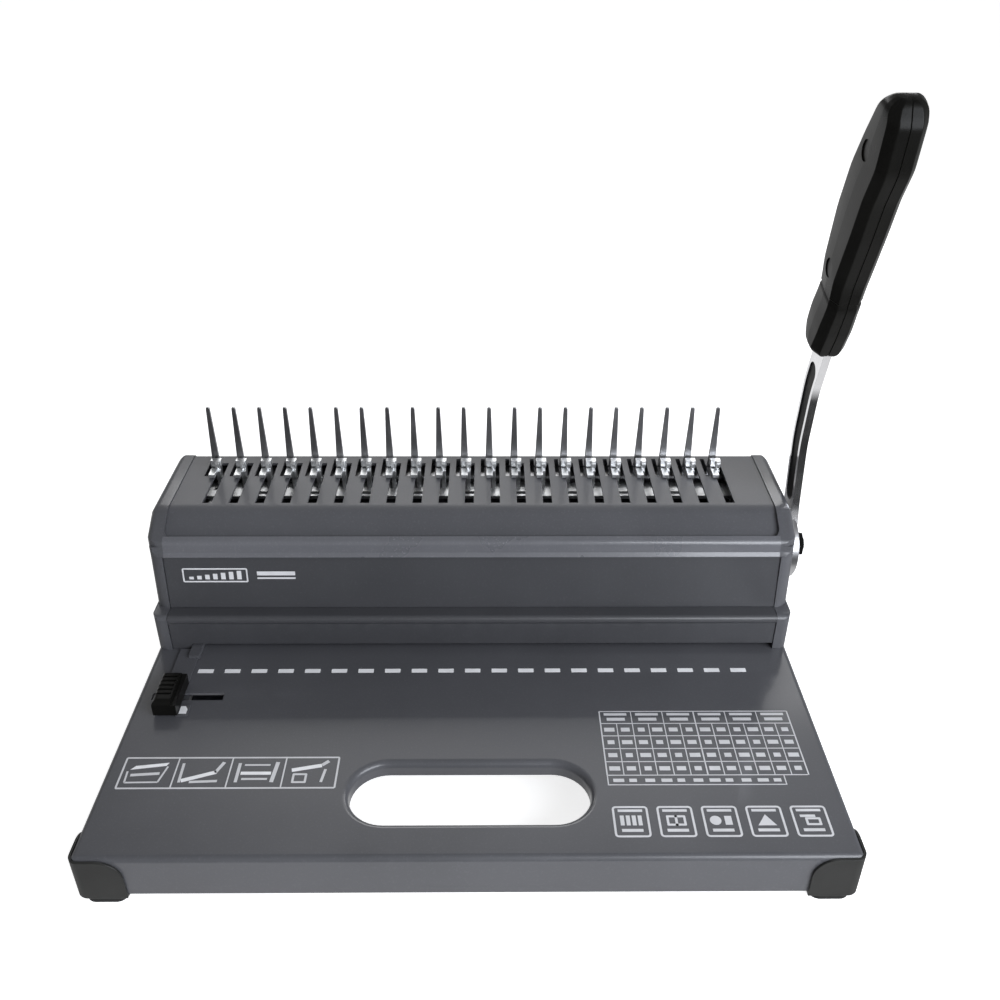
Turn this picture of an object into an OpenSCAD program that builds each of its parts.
// Comb binding machine: a folded steel base that carries a punch housing, a row of comb
// fingers and a side lever. X runs across the machine, Y towards its back, Z up.

/* [Pitch and holes] */
// distance between neighbouring holes, fingers and hooks (nine sixteenths of an inch)
pitch = 14.2875; // [13.9:0.0125:14.6]
// number of punched holes
holes = 21; // [5:2:21]
// width of one punched hole
hole_w = 8; // [6:0.5:9]
// depth of one punched hole
hole_d = 2.8; // [2:0.2:3.4]

/* [Base] */
// width of the base
base_w = 347; // [344:1:352]
// depth of the base
base_d = 232; // [228:1:240]
// height of the base pan's walls
pan_h = 23; // [23:0.5:24]
// height of the feet and cap soles together
foot_h = 7; // [7:0.5:8]
// sheet thickness
sheet_t = 1.5; // [1.4:0.1:1.5]
// bend radius along the base's top edges
edge_r = 2.5; // [2:0.25:3.5]
// carry hole length
carry_w = 113; // [90:1:120]
// carry hole width
carry_d = 35.5; // [30:0.5:38]

/* [Housing] */
// height of the slotted top panel above the table
top_z = 102.2; // [102:0.1:102.6]
// how far the side caps stand above the top panel
rim_h = 0.7; // [0.5:0.1:1]
// rounding of the side caps' outer top edge
cap_r = 4.5; // [4:0.5:6]

/* [Fingers and slots] */
// height of the finger tips above the table
finger_z = 140.5; // [125:0.5:145]
// finger width at its foot
finger_w = 4.6; // [4:0.1:4.8]
// finger width at its tip
finger_tip = 2.2; // [1.6:0.1:3]
// width of the long slots
slot_w = 5; // [4.6:0.1:5.4]

/* [Lever] */
// lever bar width
bar_w = 16; // [14:0.5:18]
// lever bar thickness
bar_t = 4; // [3.5:0.1:4.2]
// hub disc diameter
hub_d = 37; // [36:0.5:42]
// grip thickness over both halves
grip_t = 18; // [16:0.5:20]

/* [Edge guide] */
// knob block length along the machine's depth
knob_l = 24; // [20:0.5:26]
// knob block height above the base
knob_h = 10; // [8:0.5:12]

/* [Hidden] */

$fn = 48;
paint = [0.36, 0.37, 0.39];
dark_paint = [0.24, 0.25, 0.27];
black = [0.07, 0.07, 0.07];
rubber = [0.05, 0.05, 0.05];
steel = [0.66, 0.67, 0.69];
chrome = [0.85, 0.86, 0.88];
brass = [0.75, 0.6, 0.3];

base_z = foot_h + pan_h;
half_w = base_w / 2;
half_d = base_d / 2;
under_z = base_z - sheet_t;
side_t = 1.3;
lever_x = half_w + 2.3;
lever_mid = lever_x + bar_t / 2;
// shifts the model so that its bounding box is centred on X
centre_x = -(lever_mid + grip_t / 2 - half_w - side_t) / 2;

// shaft and gears
shaft_y = 63.7;
shaft_z = 73;
shaft_r = 5;
run_gap = 0.05;
punch_teeth = 13;
opener_teeth = 26;
module_mm = 1;
punch_pr = module_mm * punch_teeth / 2;
opener_pr = module_mm * opener_teeth / 2;
punch_add = 0.7;
rack_line_y = shaft_y - punch_pr;
rack_line_z = shaft_z + opener_pr;
gear_in = 146.2;
gear_out = 150.4;
pinion_in = 151;
pinion_out = 155.2;
frame_in = 156;
frame_t = 3;
cover_half = 164.1;
comb_half = (holes - 1) / 2 * pitch;

// offsets of the slots, hooks and fingers from the hole centres
slot_off = -2;
vent_off = -9.1;
finger_off = -5.4;
hook_off = -2.7;
finger_y = 100.3;

function unit(v) = v / norm(v);
function flat(l) = [for (a = l) for (b = a) b];
function turn(a) = (a + 540) % 360 - 180;
// arc that rounds the corner q between p and s; q is [x, y, radius]
function bend(p, q, s, n) =
    let (a = unit([p.x - q.x, p.y - q.y]), b = unit([s.x - q.x, s.y - q.y]))
    let (half = acos(a * b) / 2, c = [q.x, q.y] + unit(a + b) * q.z / sin(half))
    let (d = q.z / tan(half), u = [q.x, q.y] + a * d - c, v = [q.x, q.y] + b * d - c)
    let (a0 = atan2(u.y, u.x), da = turn(atan2(v.y, v.x) - a0))
    q.z == 0 ? [[q.x, q.y]] :
    [for (i = [0:n]) c + q.z * [cos(a0 + da * i / n), sin(a0 + da * i / n)]];
function open_path(p, n) = flat([
    [[p[0].x, p[0].y]],
    flat([for (i = [1:len(p) - 2]) bend(p[i - 1], p[i], p[i + 1], n)]),
    [[p[len(p) - 1].x, p[len(p) - 1].y]]]);
function closed_path(p, n) = let (m = len(p))
    flat([for (i = [0:m - 1]) bend(p[(i + m - 1) % m], p[i], p[(i + 1) % m], n)]);
function left_of(a, b) = let (d = unit([b.x - a.x, b.y - a.y])) [-d.y, d.x];
function moved(q, v, r) = [q.x + v.x, q.y + v.y, r];
// the path moved t to its left, with its bend radii changed to match
function beside(p, t) = [for (i = [0:len(p) - 1])
    i == 0 ? moved(p[0], t * left_of(p[0], p[1]), 0) :
    i == len(p) - 1 ? moved(p[i], t * left_of(p[i - 1], p[i]), 0) :
    let (m = left_of(p[i - 1], p[i]), k = left_of(p[i], p[i + 1]))
    let (side = sign(m.x * k.y - m.y * k.x))
    moved(p[i], t * (m + k) / (1 + m * k), max(0, p[i].z - t * side))];
function back(l) = [for (i = [len(l) - 1:-1:0]) l[i]];
function strip(p, t, n) = flat([open_path(p, n), back(open_path(beside(p, t), n))]);

module in_frame() translate([centre_x, 0, 0]) children();
module along_x(x0, x1) translate([x0, 0, 0]) rotate([90, 0, 90]) linear_extrude(x1 - x0)
    children();
module along_y(y0, y1) translate([0, y1, 0]) rotate([90, 0, 0]) linear_extrude(y1 - y0)
    children();
module box(a, b) translate(a) cube(b - a);
module rod_x(x0, x1, y, z, r) translate([x0, y, z]) rotate([0, 90, 0])
    cylinder(h = x1 - x0, r = r);
module rod_z(x, y, z0, z1, r) translate([x, y, z0]) cylinder(h = z1 - z0, r = r);
module left_right() {
    children();
    mirror([1, 0, 0]) children();
}
module each_hole(off) for (i = [-(holes - 1) / 2:(holes - 1) / 2])
    translate([i * pitch + off, 0, 0]) children();

// rectangle from y = 0 up whose two top corners are rounded
module arched(w, h, r) {
    translate([-w / 2, 0]) square([w, h - r]);
    translate([r - w / 2, 0]) square([w - 2 * r, h]);
    for (s = [-1, 1]) translate([s * (w / 2 - r), h - r]) circle(r);
}
module round_rect(w, d, r) {
    square([w - 2 * r, d], center = true);
    square([w, d - 2 * r], center = true);
    for (s = [-1, 1], t = [-1, 1]) translate([s * (w / 2 - r), t * (d / 2 - r)]) circle(r);
}
module stadium(w, d) {
    square([w - d, d], center = true);
    for (s = [-1, 1]) translate([s * (w - d) / 2, 0]) circle(d / 2);
}

// ---------------------------------------------------------------- base
carry_y = -78.75;
lip_r = 3;
lip_h = 8;
tray_y0 = 33;
tray_y1 = 63;
tray_z0 = 8.6;
tray_z1 = 22.2;
die_half = 152;
die_y0 = 40;
die_y1 = 52;
guide_slot_x0 = -166;
guide_slot_x1 = -129;
guide_slot_y = -14;
guide_x = -155;
guide_slot_w = 5.4;
post_xy = [[165, 25], [165, 85]];
frame_hole_y = [60, 100];
frame_hole_x = 163.5;

module pan_block(w, d, h, r, rp) intersection() {
    along_x(-w, w) arched(d, h, r);
    along_y(-d, d) arched(w, h, r);
    linear_extrude(h + 1) round_rect(w, d, rp);
}
// section of the folded lip around the carry hole, drawn at radius r from its axis
module lip_section(r) polygon(flat([
    [[r, base_z - lip_h]],
    [for (a = [0:15:90]) [r + lip_r - lip_r * cos(a), base_z - lip_r + lip_r * sin(a)]],
    [for (a = [90:-15:0]) [r + lip_r - (lip_r - sheet_t) * cos(a),
        base_z - lip_r + (lip_r - sheet_t) * sin(a)]],
    [[r + sheet_t, base_z - lip_h]]]));
module carry_lip() {
    reach = (carry_w - carry_d) / 2;
    for (s = [-1, 1]) translate([s * reach, carry_y, 0]) rotate([0, 0, -90 * s])
        rotate_extrude(angle = 180, $fn = 96) lip_section(carry_d / 2);
    for (s = [-1, 1]) translate([0, carry_y, 0]) rotate([0, 0, s * 90])
        translate([0, -reach, 0]) along_y(0, 2 * reach) lip_section(carry_d / 2);
}
module base_pan() color(paint) in_frame() {
    difference() {
        translate([0, 0, foot_h]) pan_block(base_w, base_d, pan_h, edge_r, 4);
        translate([0, 0, foot_h - 1]) pan_block(base_w - 2 * sheet_t,
            base_d - 2 * sheet_t, pan_h + 1 - sheet_t, edge_r - sheet_t, 4 - sheet_t);
        translate([0, carry_y, under_z - 1]) linear_extrude(sheet_t + 2)
            stadium(carry_w + 2 * lip_r, carry_d + 2 * lip_r);
        box([-die_half - 0.2, die_y0 - 0.1, under_z - 1],
            [die_half + 0.2, die_y1 + 0.1, base_z + 1]);
        box([guide_slot_x0, guide_slot_y - guide_slot_w / 2, under_z - 1],
            [guide_slot_x1, guide_slot_y + guide_slot_w / 2, base_z + 1]);
        box([-half_w - 1, tray_y0, tray_z0], [2 - half_w, tray_y1, tray_z1]);
        left_right() for (y = frame_hole_y) rod_z(frame_hole_x, y, under_z - 1,
            base_z + 1, 2.1);
    }
    carry_lip();
    left_right() for (p = post_xy) difference() {
        rod_z(p.x, p.y, foot_h + 1.2, under_z + 0.2, 4);
        rod_z(p.x, p.y, foot_h, foot_h + 14, 1.6);
    }
}
module bottom_plate() color(dark_paint) in_frame() difference() {
    box([-171, 6, foot_h], [171, 92, foot_h + 1.2]);
    left_right() for (p = post_xy) rod_z(p.x, p.y, foot_h - 1, foot_h + 2, 1.8);
}
module bottom_screws() color(steel) in_frame() left_right() for (p = post_xy) {
    rod_z(p.x, p.y, foot_h - 1.8, foot_h, 3.4);
    rod_z(p.x, p.y, foot_h - 1, foot_h + 12, 1.55);
}

// corner plan from o to l on both axes, its outer corner rounded with r
module corner_plan(o, r, l) {
    translate([o + r, o]) square([l - o - r, l - o]);
    translate([o, o + r]) square([r + 1, l - o - r]);
    translate([o + r, o + r]) circle(r);
}
cap_l = 22;
cap_top = 22;
sole_t = 1.8;
foot_in = 10.5;
module cap_arch() {
    r = 11;
    square([cap_l - r, cap_top]);
    square([cap_l, cap_top - r]);
    translate([cap_l - r, cap_top - r]) circle(r);
    translate([-5, 0]) square([6, cap_top]);
}
// front-left corner cap; the skirt of the base drops between its skin and its core
module corner_cap() color(black) difference() {
    translate([-half_w, -half_d, 0]) {
        intersection() {
            translate([0, 0, foot_h]) linear_extrude(cap_top) difference() {
                corner_plan(-side_t, 4 + side_t, cap_l);
                corner_plan(0, 4, cap_l + 1);
            }
            translate([0, 0, foot_h]) along_y(-5, 30) cap_arch();
            translate([0, 0, foot_h]) along_x(-5, 30) cap_arch();
        }
        translate([0, 0, foot_h - sole_t]) linear_extrude(sole_t)
            corner_plan(-side_t, 4 + side_t, cap_l);
        translate([0, 0, foot_h]) linear_extrude(17) corner_plan(1.7, 2.6, 16);
    }
    rod_z(foot_in - half_w, foot_in - half_d, 0, foot_h + 14, 1.6);
}
module corner_cap_fl() in_frame() corner_cap();
module corner_cap_fr() in_frame() mirror([1, 0, 0]) corner_cap();
module corner_cap_rl() in_frame() mirror([0, 1, 0]) corner_cap();
module corner_cap_rr() in_frame() mirror([1, 0, 0]) mirror([0, 1, 0]) corner_cap();

foot_w = 19;
module foot(sx, sy) color(rubber) in_frame()
    translate([sx * (half_w - foot_in), sy * (half_d - foot_in), 0]) difference() {
        union() {
            linear_extrude(foot_h - sole_t) round_rect(foot_w, foot_w, 5);
        }
        translate([0, 0, -1]) cylinder(h = 3.4, r = 4.4);
        translate([0, 0, -1]) cylinder(h = foot_h, r = 1.9);
        translate([0, 0, -1]) difference() {
            cylinder(h = 1.6, r = 7.6);
            cylinder(h = 1.6, r = 6.4);
        }
    }
module foot_fl() foot(-1, -1);
module foot_fr() foot(1, -1);
module foot_rl() foot(-1, 1);
module foot_rr() foot(1, 1);
module foot_screws() color(steel) in_frame() for (sx = [-1, 1], sy = [-1, 1])
    translate([sx * (half_w - foot_in), sy * (half_d - foot_in), 0]) {
        translate([0, 0, 0.8]) cylinder(h = 1.6, r = 3.6);
        translate([0, 0, 2]) cylinder(h = 17, r = 1.55);
    }

// ---------------------------------------------------------------- edge guide
guide_right = -148.5;
knob_x0 = -161;
knob_x1 = -149;
knob_y1 = -5;
arm_z0 = base_z + 0.2;
arm_t = 1;
module guide_arm() color(paint) in_frame() {
    difference() {
        translate([0, 0, arm_z0]) linear_extrude(arm_t) {
            translate([-160.5, -27]) square([11, 49.7]);
            translate([-150, -29]) square([6, 7.5]);
        }
        rod_z(guide_x, guide_slot_y, base_z - 1, base_z + 8, 2.6);
    }
    box([-154.2, 15, arm_z0], [guide_right, 39.5, arm_z0 + 2.6]);
}
module guide_knob() color(black) in_frame() difference() {
    intersection() {
        along_y(knob_y1 - knob_l, knob_y1) translate([(knob_x0 + knob_x1) / 2,
            arm_z0 + arm_t]) arched(knob_x1 - knob_x0, knob_h - arm_t - 0.2, 2.5);
        along_x(knob_x0, knob_x1) translate([knob_y1 - knob_l / 2, arm_z0 + arm_t])
            arched(knob_l, knob_h - arm_t - 0.2, 3);
    }
    rod_z(guide_x, guide_slot_y, base_z, base_z + knob_h - 3, 2.05);
    for (i = [0:4]) box([knob_x0 - 1, knob_y1 - 5.4 - 3.2 * i, base_z + knob_h - 0.8],
        [knob_x1 - 3.4, knob_y1 - 4 - 3.2 * i, base_z + knob_h + 1]);
    box([knob_x1 - 2.6, knob_y1 - knob_l - 1, base_z + knob_h - 2.2],
        [knob_x1 + 1, knob_y1 + 1, base_z + knob_h + 1]);
}
module guide_clamp() color(steel) in_frame() difference() {
    union() {
        box([guide_x - 8, guide_slot_y - 7, under_z - 3], [guide_x + 8, guide_slot_y + 7,
            under_z - 0.2]);
        box([guide_x - 4, guide_slot_y - 2.4, under_z - 0.3], [guide_x + 4,
            guide_slot_y + 2.4, base_z + 0.1]);
    }
    rod_z(guide_x, guide_slot_y, under_z - 5, base_z + 1, 2.05);
}
module guide_screw() color(steel) in_frame() {
    rod_z(guide_x, guide_slot_y, under_z - 5, under_z - 3, 3.8);
    rod_z(guide_x, guide_slot_y, under_z - 4, base_z + knob_h - 3.2, 2);
}

// ---------------------------------------------------------------- chip tray
tray_wall = 1.4;
module chip_tray() color(black) in_frame() difference() {
    union() {
        box([-172, tray_y0 + 0.8, tray_z0 + 0.2], [150, tray_y1 - 0.8, tray_z1 - 0.9]);
        box([-half_w - 1.2, tray_y0 - 2, tray_z0 - 0.2], [-half_w - 0.1,
            tray_y1 + 2, tray_z1 + 0.6]);
        box([-half_w - 0.3, tray_y0 + 0.8, tray_z0 + 0.2], [-171, tray_y1 - 0.8,
            tray_z1 - 0.9]);
    }
    box([-171, tray_y0 + 0.8 + tray_wall, tray_z0 + 0.2 + tray_wall],
        [150 - tray_wall, tray_y1 - 0.8 - tray_wall, tray_z1 + 1]);
    box([-half_w - 2, 42, tray_z0 + 6.5], [0.4 - half_w, 54, tray_z0 + 10.5]);
}

// ---------------------------------------------------------------- housing
ledge_z = 52.2;
front_y = 23.4;
cap_front = [[front_y, base_z + 0.1, 0], [front_y, ledge_z, 3.2], [31.9, ledge_z, 1],
    [34.9, 84, 12], [35.6, 92.5, 4], [53.5, top_z + rim_h, 18],
    [116, top_z + rim_h, 4.5], [116, base_z + 0.1, 0]];
// outline of the side caps, moved in by t
function cap_outline(t) = let (p = beside(cap_front, -t))
    flat([open_path(p, 8), [[116 - t, base_z - 5], [front_y + t, base_z - 5]]]);
// keeps what lies t under the plane through p that rises at a degrees towards the back,
// its two long edges rounded with r
module under(p, a, t, r) translate([0, p.x, p.y]) rotate([a, 0, 0])
    translate([0, 0, -150]) along_y(-160, 160) arched(base_w - 2 * t, 150 - t, r - t);
front_lean = atan2(84 - ledge_z, 34.9 - 31.9);
slope = atan2(top_z + rim_h - 92.5, 53.5 - 35.6);
rear_r = 12;
module cap_shape(t) {
    intersection() {
        along_x(-half_w + t, half_w - t) polygon(cap_outline(t));
        under([31.9, ledge_z], front_lean, t, 8);
        under([35.6, 92.5], slope, t, cap_r);
        under([70, top_z + rim_h], 0, t, cap_r);
        under([116, 70], -90, t, rear_r);
    }
    intersection() {
        along_x(-half_w + t, half_w - t) polygon(cap_outline(t));
        under([front_y, 40], 90, t, 5.5);
        under([116, 70], -90, t, rear_r);
        box([-half_w, 0, 0], [half_w, 130, ledge_z - t]);
    }
}
cap_in = 164.2;
return_in = 165.4;
corner_r = 7;
// lip along the lower edge of the shoulder
lip = [[37, 83.7], [35.6, 83.7], [34, 84.2], [34, 84.6], [35.2, 86.8], [35.4, 90], [37, 90]];
module cap_left() color(paint) in_frame() {
    difference() {
        intersection() {
            cap_shape(0);
            box([-half_w - 1, 0, base_z + 0.1], [-cap_in, 130, 130]);
        }
        intersection() {
            cap_shape(2.2);
            box([-half_w, 0, 0], [1 - cap_in, 130, 130]);
        }
        box([-return_in, 20, 0], [0, 40, 83.6]);
        rod_x(-half_w - 5, -half_w + 5, shaft_y, shaft_z, shaft_r + 1.2);
    }
    shoulder_fillet();
    intersection() {
        along_x(-half_w, -cap_in) polygon(lip);
        under([34, 84], 90, 0, 8);
    }
}
module shoulder_fillet() difference() {
    translate([-cap_in - 0.05, 38.3, 91.9]) rotate([slope, 0, 0]) linear_extrude(1.8)
        difference() {
            square(corner_r);
            translate([corner_r, corner_r]) circle(corner_r);
        }
    along_x(-cap_in, 1 - cap_in + corner_r) polygon([[30, 80], [41.1, 80], [41.1, 89],
        [38.4, 96.5], [30, 96.5]]);
}
module cap_right() mirror_frame() cap_left();

lower_path = [[23.9, 33.6, 0], [23.9, 47.6, 0.4], [23.1, 48.6, 1.9], [23.1, ledge_z, 2.8],
    [38.5, ledge_z, 0]];
module lower_plate() color(dark_paint) in_frame() {
    along_x(-165.2, 165.2) polygon(strip(lower_path, -sheet_t, 6));
    box([-165.2, 23.9, base_z + 0.1], [-154.4, 25.4, 34]);
}
module front_panel() color(paint) in_frame()
    along_x(-165.2, 165.2) polygon(strip([[32.2, ledge_z + 0.1, 0], [35.45, 81.5, 4],
        [35.5, 83.5, 0]], -1.2, 2));

// the rail's section is the housing's own outline cut to its front top edge
module front_rail() color(paint) in_frame() {
    intersection() {
        along_x(-cap_in, cap_in) difference() {
            polygon(cap_outline(0));
            polygon(cap_outline(2.2));
        }
        along_x(-cap_in, cap_in) polygon([[30, 83.7], [41, 83.7], [41, 89],
            [38.3, 96.4], [30, 96.4]]);
    }
    along_x(-cap_in, cap_in) polygon(lip);
}
slot_y0 = 60.3;
slot_y1 = 104.3;
vent_y0 = 89.3;
vent_y1 = 109.1;
cover_path = [[37.2, 74, 0], [38.2, 91.3, 2.5], [55.6, top_z, 14],
    [115.5, top_z, 4], [115.5, 88, 0]];
module top_cover() color(paint) in_frame() difference() {
    along_x(-cover_half, cover_half) polygon(strip(cover_path, -sheet_t, 8));
    each_hole(slot_off) box([-slot_w / 2, slot_y0, top_z - 4], [slot_w / 2, slot_y1,
        top_z + 1]);
    each_hole(vent_off) box([-1.2, vent_y0, top_z - 1.6], [1.2, vent_y1, top_z + 1]);
    each_hole(finger_off) box([-finger_w / 2 - 0.2, finger_y - 1, top_z - 4],
        [finger_w / 2 + 0.2, finger_y + 1, top_z + 1]);
    for (x = [-120, 0, 120]) translate([x, 118, 93]) rotate([90, 0, 0])
        cylinder(h = 5, r = 1.8);
}
module rear_panel() color(paint) in_frame() difference() {
    along_x(-cover_half, cover_half) polygon(strip([[114, 94.6, 0], [114, base_z + 1.7, 1.6],
        [104, base_z + 1.7, 0]], -1.2, 5));
    for (x = [-120, 0, 120]) translate([x, 118, 93]) rotate([90, 0, 0])
        cylinder(h = 8, r = 1.5);
    for (x = [-120, -60, 0, 60, 120]) translate([x, 116, 55]) rotate([90, 0, 0])
        linear_extrude(5) stadium(34, 4);
}
module panel_screws() color(steel) in_frame() for (x = [-120, 0, 120])
    translate([x, 115.5, 93]) rotate([-90, 0, 0]) {
        cylinder(h = 1.2, r = 2.9);
        translate([0, 0, -4.6]) cylinder(h = 5, r = 1.4);
    }

// ---------------------------------------------------------------- inner frame
module frame_left() color(steel) in_frame() difference() {
    union() {
        along_x(-frame_in - frame_t, -frame_in) polygon([[54.5, base_z], [103.8, base_z],
            [103.8, 33.2], [111, 33.2], [111, 97.5], [56, 97.5], [42, 88.5], [40, 82],
            [40, 33.4], [54.5, 33.4]]);
        box([-frame_in - 12, 54.5, base_z], [-frame_in, 103.8, base_z + 2]);
    }
    rod_x(-frame_in - 5, -frame_in + 5, shaft_y, shaft_z, 7);
    for (y = frame_hole_y) rod_z(-frame_hole_x, y, base_z - 1, base_z + 4, 2.1);
}
module frame_right() mirror_frame() frame_left();
module mirror_frame() translate([2 * centre_x, 0, 0]) mirror([1, 0, 0]) children();
module frame_screws() color(steel) in_frame() left_right() for (y = frame_hole_y) {
    rod_z(frame_hole_x, y, base_z + 2, base_z + 4.2, 3.5);
    rod_z(frame_hole_x, y, base_z - 6, base_z + 3, 2);
    translate([frame_hole_x, y, under_z - 2.6]) cylinder(h = 2.6, r = 3.6, $fn = 6);
}
module bushing_left() color(brass) in_frame() difference() {
    union() {
        rod_x(-frame_in - frame_t, -frame_in + 0.6, shaft_y, shaft_z, 6.95);
        rod_x(-frame_in - frame_t - 1.2, -frame_in - frame_t, shaft_y, shaft_z, 9);
    }
    rod_x(-frame_in - 9, -frame_in + 5, shaft_y, shaft_z, shaft_r + run_gap);
}
module bushing_right() mirror_frame() bushing_left();

// ---------------------------------------------------------------- punch
punch_y = 46;
die_gap = 0.1;
bar_z0 = 56;
bar_z1 = 66;
rod_xs = [-100, 100];
rod_y = 53;
rod_r = 2;
module pin_hole(z0, z1, g) each_hole(0) box([-hole_w / 2 - g, punch_y - hole_d / 2 - g, z0],
    [hole_w / 2 + g, punch_y + hole_d / 2 + g, z1]);
module die_plate() color(steel) in_frame() difference() {
    union() {
        box([-die_half, die_y0, under_z - 0.5], [die_half, die_y1, base_z]);
        box([-die_half, 36, 23.2], [die_half, 56, under_z]);
    }
    pin_hole(20, 40, die_gap);
}
guide_z1 = 41;
module punch_guide() color(steel) in_frame() difference() {
    along_x(-frame_in, frame_in) polygon([[25.5, 34.4], [28.3, 33.2], [50.6, 33.2],
        [50.6, base_z], [53, base_z], [53, 33.2], [58, 33.2], [58, guide_z1],
        [40, guide_z1], [40, 36], [25.5, 36]]);
    pin_hole(20, 50, die_gap);
    for (x = rod_xs) rod_z(x, rod_y, guide_z1 - 6, guide_z1 + 1, rod_r);
}
module guide_rods() color(steel) in_frame() for (x = rod_xs) {
    rod_z(x, rod_y, guide_z1 - 6, 80, rod_r - 0.02);
    rod_z(x, rod_y, 78.4, 80, 3.4);
}
spring_turns = 5;
module punch_springs() color(steel) in_frame() for (x = rod_xs)
    translate([x, rod_y, guide_z1]) linear_extrude(height = bar_z0 - guide_z1,
        twist = -360 * spring_turns, slices = 14 * spring_turns, $fn = 8) polygon(flat([
            [for (a = [-54:36:54]) 3.5 * [cos(a), sin(a)]],
            [for (a = [54:-36:-54]) 2.5 * [cos(a), sin(a)]]]));
module punch_bar() color(steel) in_frame() difference() {
    box([-pinion_in + 0.2, 42, bar_z0], [pinion_in - 0.2, 57.2, bar_z1]);
    pin_hole(bar_z0 - 1, bar_z1 - 2, 0);
    for (x = rod_xs) rod_z(x, rod_y, bar_z0 - 1, bar_z1 + 1, rod_r + 0.06);
    left_right() for (z = [59, 63]) rod_x(pinion_in - 3.7, pinion_in, 47.5, z, 1.25);
}
module punch_pins() color(chrome) in_frame() difference() {
    pin_hole(35, bar_z1 - 2, 0);
    each_hole(0) along_y(40, 52) polygon([[-2.4, 34.9], [2.4, 34.9], [0, 36.2]]);
}
// straight-sided rack tooth gaps along u, cut into a face at v = 0, repeated n times
module rack_gaps(n, add, ded, play) {
    p = PI * module_mm;
    for (i = [0:n - 1]) translate([i * p, 0]) polygon([
        [-p / 4 - play / 2 - add * tan(20), add + 0.01],
        [p / 4 + play / 2 + add * tan(20), add + 0.01],
        [p / 4 + play / 2 - ded * tan(20), -ded],
        [-p / 4 - play / 2 + ded * tan(20), -ded]]);
}
tooth_play = 0.16;
module punch_rack_right() color(steel) in_frame() difference() {
    along_x(pinion_in, pinion_out) difference() {
        polygon([[44, bar_z0], [rack_line_y + punch_add, bar_z0],
            [rack_line_y + punch_add, 91.5], [51.2, 91.5], [51.2, 68], [44, 68]]);
        translate([rack_line_y, shaft_z - 4 * PI * module_mm]) rotate(-90) mirror([1, 0])
            rack_gaps(10, punch_add, 1.25, tooth_play);
    }
    for (z = [59, 63]) rod_x(pinion_in - 1, pinion_out + 1, 47.5, z, 1.35);
}
module punch_rack_left() mirror_frame() punch_rack_right();
module rack_screws() color(steel) in_frame() left_right() for (z = [59, 63])
    rod_x(pinion_in - 3.4, pinion_out, 47.5, z, 1.2);

// ---------------------------------------------------------------- gears
// involute tooth flank: half the tooth's angle at radius r
function roll(a) = tan(a) * 180 / PI - a;
function flank(r, pr, play) = let (rb = pr * cos(20))
    90 * (PI * module_mm / 2 - play) / (PI * pr) * 1 + roll(20) - roll(acos(min(1, rb / r)));
function tooth(pr, add, ded, play, a) = let (rb = pr * cos(20), r0 = pr - ded)
    let (r1 = max(r0 + 0.02, rb), k = 5)
    flat([[r0 * [cos(a - flank(r1, pr, play)), sin(a - flank(r1, pr, play))]],
        [for (i = [0:k]) let (r = r1 + (pr + add - r1) * i / k, w = flank(r, pr, play))
            r * [cos(a - w), sin(a - w)]],
        [for (i = [k:-1:0]) let (r = r1 + (pr + add - r1) * i / k, w = flank(r, pr, play))
            r * [cos(a + w), sin(a + w)]],
        [r0 * [cos(a + flank(r1, pr, play)), sin(a + flank(r1, pr, play))]]]);
module punch_pinion_right() color(steel) in_frame() difference() {
    along_x(pinion_in + 0.1, pinion_out - 0.1) translate([shaft_y, shaft_z])
        polygon(flat([for (i = [0:punch_teeth - 1]) tooth(punch_pr, 0.9, 1.1, tooth_play,
            180 + i * 360 / punch_teeth)]));
    rod_x(pinion_in - 1, pinion_out + 1, shaft_y, shaft_z, shaft_r);
}
module punch_pinion_left() mirror_frame() punch_pinion_right();
sector_hub = 8;
module opener_sector_right() color(steel) in_frame() difference() {
    along_x(gear_in, gear_out) translate([shaft_y, shaft_z]) {
        circle(sector_hub);
        polygon(flat([[[0, 0]], flat([for (i = [-7:0]) tooth(opener_pr, 1, 1.25, tooth_play,
            90 + i * 360 / opener_teeth)])]));
    }
    rod_x(gear_in - 1, gear_out + 1, shaft_y, shaft_z, shaft_r);
}
module opener_sector_left() mirror_frame() opener_sector_right();

// ---------------------------------------------------------------- comb opener
plate_z = 90.2;
plate_t = 2;
rack_top = plate_z;
module opener_rack_right() color(steel) in_frame() difference() {
    along_x(gear_in, gear_out) difference() {
        polygon([[59.8, rack_line_z - 1], [95, rack_line_z - 1], [95, rack_top],
            [62, rack_top], [59.8, rack_top - 2.2]]);
        translate([shaft_y, rack_line_z]) mirror([0, 1]) rack_gaps(9, 1, 1.25, tooth_play);
    }
    for (y = [91.8]) rod_z((gear_in + gear_out) / 2, y, rack_line_z - 2, rack_top + 1, 1.2);
}
module opener_rack_left() mirror_frame() opener_rack_right();
module opener_plate() color(steel) in_frame() difference() {
    box([-154.6, 84, plate_z], [154.6, 99, plate_z + plate_t]);
    each_hole(hook_off) box([-1.5, 92.5, plate_z - 1], [0.9, 98, plate_z + plate_t + 1]);
    left_right() rod_z((gear_in + gear_out) / 2, 91.8, plate_z - 1, plate_z + 4, 1.3);
    for (x = [-120:30:120]) translate([x, 87.5, plate_z - 1]) linear_extrude(4)
        stadium(16, 3);
}
module opener_hooks() color(chrome) in_frame() each_hole(hook_off) {
    along_x(-1.5, 0.9) polygon([[92.5, plate_z], [98, plate_z], [98, 109.2], [93.4, 109.2],
        [92.4, 108.2], [92.4, 105.4], [94.4, 105.4], [94.4, 103.6], [92.5, 103.6]]);
    box([-4.5, 94.4, 105.4], [1.4, 98, 109.2]);
    box([-4.3, 86, 102.8], [-0.6, 95, 104.8]);
}
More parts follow.
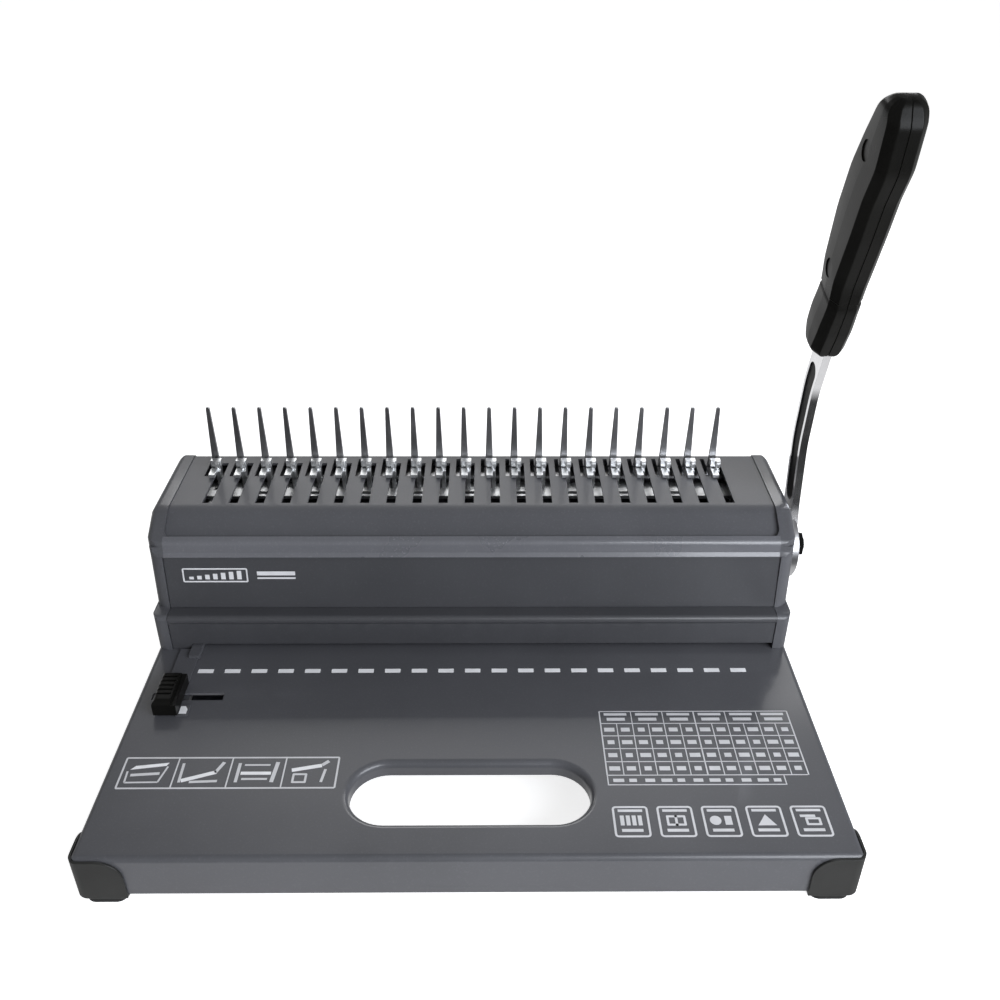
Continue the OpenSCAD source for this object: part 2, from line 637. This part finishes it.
module rail_right() color(dark_paint) in_frame() difference() {
    box([152.6, 60, 87.4], [frame_in, 111, 95]);
    box([152, 59, plate_z - 0.15], [154.9, 112, plate_z + plate_t + 0.15]);
}
module rail_left() mirror_frame() rail_right();
module comb_bar() color(steel) in_frame() difference() {
    along_x(-152.4, 152.4) polygon(strip([[98.9, 96.6, 0], [112.4, 96.6, 2], [112.4, 76, 0]],
        -1.6, 5));
    each_hole(finger_off) box([-finger_w / 2, finger_y - 0.75, 90],
        [finger_w / 2, finger_y + 0.75, 99]);
    for (x = [-120, 0, 120]) translate([x, 118, 93]) rotate([90, 0, 0])
        cylinder(h = 8, r = 1.5);
}
module comb_fingers() color(steel) in_frame() each_hole(finger_off)
    along_y(finger_y - 0.75, finger_y + 0.75) polygon(flat([
        [[-finger_w / 2, 95], [finger_w / 2, 95], [finger_w / 2, 102]],
        [for (a = [0:30:180]) [finger_tip / 2 * cos(a), finger_z - finger_tip / 2 +
            finger_tip / 2 * sin(a)]],
        [[-finger_w / 2, 102]]]));

// ---------------------------------------------------------------- shaft and lever
module main_shaft() color(steel) in_frame() difference() {
    union() {
        rod_x(-159.8, lever_x - 0.2, shaft_y, shaft_z, shaft_r);
        rod_x(lever_x - 0.3, lever_x + bar_t + 6, shaft_y, shaft_z, 4);
    }
    rod_x(-161, -157, shaft_y, shaft_z, 1.6);
}
hub_x0 = half_w + 0.3;
hub_x1 = lever_x + bar_t - 1;
module hub() color(dark_paint) in_frame() difference() {
    union() {
        rod_x(hub_x0, hub_x1 - 0.8, shaft_y, shaft_z, hub_d / 2);
        rod_x(hub_x0 + 0.8, hub_x1, shaft_y, shaft_z, hub_d / 2 - 0.8);
    }
    rod_x(hub_x0 - 1, hub_x1 + 1, shaft_y, shaft_z, shaft_r + 0.02);
    along_x(lever_x, hub_x1 + 1) lever_strip();
    rod_x(lever_x, hub_x1 + 1, shaft_y, shaft_z, eye_r);
}
lever_line = [[63.7, 73, 0], [70.4, 97.6, 60], [75, 134, 60], [72, 167, 60],
    [60, 207, 90], [42.2, 263, 0]];
module lever_strip() polygon(flat([open_path(beside(lever_line, bar_w / 2), 8),
    back(open_path(beside(lever_line, -bar_w / 2), 8))]));
// shallow pressed flute on both faces, between the hub and the grip
flute_line = [[71.2, 104, 0], [75, 134, 60], [72, 167, 60], [69.3, 176, 0]];
flute_r = bar_w / 2 - 2.6;
flute_t = 0.8;
module flute() {
    polygon(flat([open_path(beside(flute_line, flute_r), 8),
        back(open_path(beside(flute_line, -flute_r), 8))]));
    for (p = [flute_line[0], flute_line[3]]) translate([p.x, p.y]) circle(flute_r);
}
eye_r = bar_w / 2 + 0.4;
grip_foot = [60, 208];
grip_lean = 17.6;
grip_screw_s = [[29.6, 2.2], [90.5, 1.2]];
module lever() color(chrome) in_frame() difference() {
    union() {
        along_x(lever_x, lever_x + bar_t) lever_strip();
        rod_x(lever_x, lever_x + bar_t, shaft_y, shaft_z, eye_r);
    }
    rod_x(lever_x - 1, lever_x + bar_t + 1, shaft_y, shaft_z, 4.02);
    for (x = [lever_x - 1, lever_x + bar_t - flute_t]) along_x(x, x + flute_t + 1) flute();
    grip_axis() translate([grip_screw_s[0].y, grip_screw_s[0].x, -1]) cylinder(h = bar_t + 2,
        r = 2.3);
}
// places children in the grip's own frame: x towards its back, y up along it, z outward
module grip_axis() translate([lever_x, grip_foot.x, grip_foot.y]) rotate([90, 0, 90])
    rotate(grip_lean) children();
grip_outline = [[-8.5, -17.5, 3], [5.5, -17.5, 4], [12, -8, 7], [12.2, 4, 8], [10.4, 17, 6],
    [13.8, 32, 20], [16.4, 56, 30], [15, 78, 30], [10.5, 95, 30], [5.5, 110, 10],
    [-1, 117.8, 4], [-9, 117.8, 4], [-15.5, 110, 7], [-18.5, 90, 14], [-15.2, 74, 20],
    [-14.4, 56, 30], [-11.8, 27, 12], [-12.8, 14, 8], [-11.4, -2, 14]];
grip_bevel = 3.4;
module grip_half(t) difference() {
    union() {
        linear_extrude(t - grip_bevel) polygon(closed_path(grip_outline, 4));
        translate([0, 50, t - grip_bevel]) linear_extrude(grip_bevel,
            scale = [0.74, 0.94], slices = 1, $fn = 4)
            translate([0, -50]) polygon(closed_path(grip_outline, 4));
    }
    translate([0, 0, -1]) linear_extrude(bar_t / 2 + 1.05) translate([-grip_foot.x,
        -grip_foot.y]) children();
    for (q = grip_screw_s) translate([q.y, q.x, -1]) cylinder(h = t + 2, r = 2.1);
    for (q = grip_screw_s) translate([q.y, q.x, t - 3]) cylinder(h = 4, r = 4);
}
module grip_outer() color(black) in_frame() translate([bar_t / 2, 0, 0]) grip_axis()
    grip_half(grip_t / 2) grip_pocket();
module grip_inner() color(black) in_frame() translate([bar_t / 2, 0, 0]) grip_axis()
    mirror([0, 0, 1]) grip_half(grip_t / 2) grip_pocket();
// the lever's outline turned into the grip's frame, for the pocket in each half
module grip_pocket() translate(grip_foot) rotate(-grip_lean) translate(-grip_foot)
    lever_strip();
module grip_screws() color(steel) in_frame() translate([bar_t / 2, 0, 0]) grip_axis()
    for (q = grip_screw_s) translate([q.y, q.x, 0]) {
        translate([0, 0, -grip_t / 2 + 1.2]) cylinder(h = 1.7, r = 3.7);
        translate([0, 0, -grip_t / 2 + 2]) cylinder(h = grip_t - 4, r = 2);
        translate([0, 0, grip_t / 2 - 2.9]) cylinder(h = 1.7, r = 3.7, $fn = 6);
    }
module shaft_nut() color(steel) in_frame() difference() {
    union() {
        rod_x(lever_x + bar_t, lever_x + bar_t + 1, shaft_y, shaft_z, 8);
        translate([lever_x + bar_t + 1, shaft_y, shaft_z]) rotate([0, 90, 0])
            cylinder(h = 4, r = 7, $fn = 6);
    }
    rod_x(lever_x, lever_x + 20, shaft_y, shaft_z, 4.02);
}

base_pan();
bottom_plate();
bottom_screws();
corner_cap_fl();
corner_cap_fr();
corner_cap_rl();
corner_cap_rr();
foot_fl();
foot_fr();
foot_rl();
foot_rr();
foot_screws();
guide_arm();
guide_knob();
guide_clamp();
guide_screw();
chip_tray();
lower_plate();
front_panel();
front_rail();
top_cover();
rear_panel();
panel_screws();
cap_left();
cap_right();
frame_left();
frame_right();
frame_screws();
bushing_left();
bushing_right();
die_plate();
punch_guide();
guide_rods();
punch_springs();
punch_bar();
punch_pins();
punch_rack_left();
punch_rack_right();
rack_screws();
rail_left();
rail_right();
comb_bar();
comb_fingers();
opener_plate();
opener_hooks();
opener_rack_left();
opener_rack_right();
main_shaft();
punch_pinion_left();
punch_pinion_right();
opener_sector_left();
opener_sector_right();
hub();
lever();
grip_inner();
grip_outer();
grip_screws();
shaft_nut();
